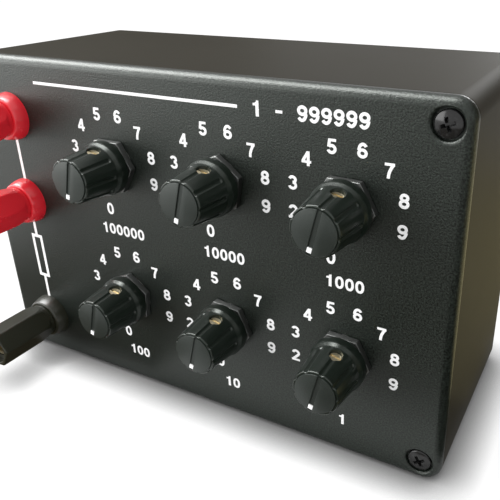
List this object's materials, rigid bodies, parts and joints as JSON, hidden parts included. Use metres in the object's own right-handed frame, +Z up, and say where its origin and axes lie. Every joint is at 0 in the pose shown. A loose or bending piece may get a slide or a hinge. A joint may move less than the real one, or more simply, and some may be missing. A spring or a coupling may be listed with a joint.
{
  "type": "resistance substitution box",
  "caption": "Boxed bench resistor with rotary decade knobs on a screwed lid and screw terminal posts that take wires or plugs.",
  "frame": {"origin": "middle of the lower long wall that the box stands on: mid-width, and mid-depth of case and lid", "axes": "+X to the right seen from the front, +Y from the lid to the back, +Z up"},
  "size_m": [0.152, 0.0871, 0.1],
  "materials": {
    "case_plastic": "fine satin moulded black",
    "lid_plastic": "satin dark grey-black",
    "screw_black": "black oxide",
    "plated_steel": "bright plating",
    "board": "laminate",
    "resistor_lacquer": "lacquer",
    "wire_red": "insulation",
    "wire_black": "insulation",
    "post_black": "polished moulding",
    "post_red": "polished moulding",
    "knob_plastic": "satin moulding",
    "cap_plastic": "satin grey",
    "brass": "turned"
  },
  "bodies": {
    "box": {"case_body": "case_plastic", "front_lid": "lid_plastic", "lid_screws": "screw_black", "switch_nuts": "plated_steel", "switch_washers": "plated_steel", "switch_wafers": "board", "switch_tags": "plated_steel", "decade_resistors": "resistor_lacquer", "fixed_resistor": "resistor_lacquer", "wire_in": "wire_red", "wire_links": "wire_black", "wire_out": "wire_red", "post_bushes": "post_black", "post_lugs": "plated_steel", "post_nuts": "plated_steel", "switch_100k": "board", "switch_10k": "board", "switch_1k": "board", "switch_100r": "board", "switch_10r": "board", "switch_1r": "board", "post_collar_high": "post_red", "post_stud_high": "brass", "post_collar_mid": "post_red", "post_stud_mid": "brass", "post_collar_low": "post_black", "post_stud_low": "brass"},
    "decade_100k": {"knob_100k": "knob_plastic", "knob_cap_100k": "cap_plastic", "grub_screw_100k": "brass", "shaft_100k": "plated_steel"},
    "decade_10k": {"knob_10k": "knob_plastic", "knob_cap_10k": "cap_plastic", "grub_screw_10k": "brass", "shaft_10k": "plated_steel"},
    "decade_1k": {"knob_1k": "knob_plastic", "knob_cap_1k": "cap_plastic", "grub_screw_1k": "brass", "shaft_1k": "plated_steel"},
    "decade_100r": {"knob_100r": "knob_plastic", "knob_cap_100r": "cap_plastic", "grub_screw_100r": "brass", "shaft_100r": "plated_steel"},
    "decade_10r": {"knob_10r": "knob_plastic", "knob_cap_10r": "cap_plastic", "grub_screw_10r": "brass", "shaft_10r": "plated_steel"},
    "decade_1r": {"knob_1r": "knob_plastic", "knob_cap_1r": "cap_plastic", "grub_screw_1r": "brass", "shaft_1r": "plated_steel"},
    "sleeve_high": {"post_sleeve_high": "brass"},
    "cap_high": {"post_cap_high": "post_red"},
    "sleeve_mid": {"post_sleeve_mid": "brass"},
    "cap_mid": {"post_cap_mid": "post_red"},
    "sleeve_low": {"post_sleeve_low": "brass"},
    "cap_low": {"post_cap_low": "post_black"}
  },
  "joints": [
    {"name": "turn_100k", "type": "hinge", "parent": "box", "child": "decade_100k", "pos_m": [-0.0217, -0.03175, 0.0729], "axis": [0, 1, 0], "range_deg": [0, 270]},
    {"name": "turn_10k", "type": "hinge", "parent": "box", "child": "decade_10k", "pos_m": [0.0134, -0.03175, 0.0729], "axis": [0, 1, 0], "range_deg": [0, 270]},
    {"name": "turn_1k", "type": "hinge", "parent": "box", "child": "decade_1k", "pos_m": [0.0485, -0.03175, 0.0729], "axis": [0, 1, 0], "range_deg": [0, 270]},
    {"name": "turn_100r", "type": "hinge", "parent": "box", "child": "decade_100r", "pos_m": [-0.0217, -0.03175, 0.0313], "axis": [0, 1, 0], "range_deg": [0, 270]},
    {"name": "turn_10r", "type": "hinge", "parent": "box", "child": "decade_10r", "pos_m": [0.0134, -0.03175, 0.0313], "axis": [0, 1, 0], "range_deg": [0, 270]},
    {"name": "turn_1r", "type": "hinge", "parent": "box", "child": "decade_1r", "pos_m": [0.0485, -0.03175, 0.0313], "axis": [0, 1, 0], "range_deg": [0, 270]},
    {"name": "lift_high", "type": "slide", "parent": "box", "child": "sleeve_high", "axis": [0, -1, 0], "range_m": [0, 0.004]},
    {"name": "screw_high", "type": "hinge", "parent": "sleeve_high", "child": "cap_high", "pos_m": [-0.0598, -0.03175, 0.0825], "axis": [0, -1, 0], "range_deg": [0, 1450]},
    {"name": "lift_mid", "type": "slide", "parent": "box", "child": "sleeve_mid", "axis": [0, -1, 0], "range_m": [0, 0.004]},
    {"name": "screw_mid", "type": "hinge", "parent": "sleeve_mid", "child": "cap_mid", "pos_m": [-0.0598, -0.03175, 0.0559], "axis": [0, -1, 0], "range_deg": [0, 1450]},
    {"name": "lift_low", "type": "slide", "parent": "box", "child": "sleeve_low", "axis": [0, -1, 0], "range_m": [0, 0.004]},
    {"name": "screw_low", "type": "hinge", "parent": "sleeve_low", "child": "cap_low", "pos_m": [-0.0598, -0.03175, 0.0142], "axis": [0, -1, 0], "range_deg": [0, 1450]}
  ],
  "couplings": [
    {"joint": "screw_high", "follows": "lift_high", "rad_per_m": 6283.2},
    {"joint": "screw_mid", "follows": "lift_mid", "rad_per_m": 6283.2},
    {"joint": "screw_low", "follows": "lift_low", "rad_per_m": 6283.2}
  ]
}
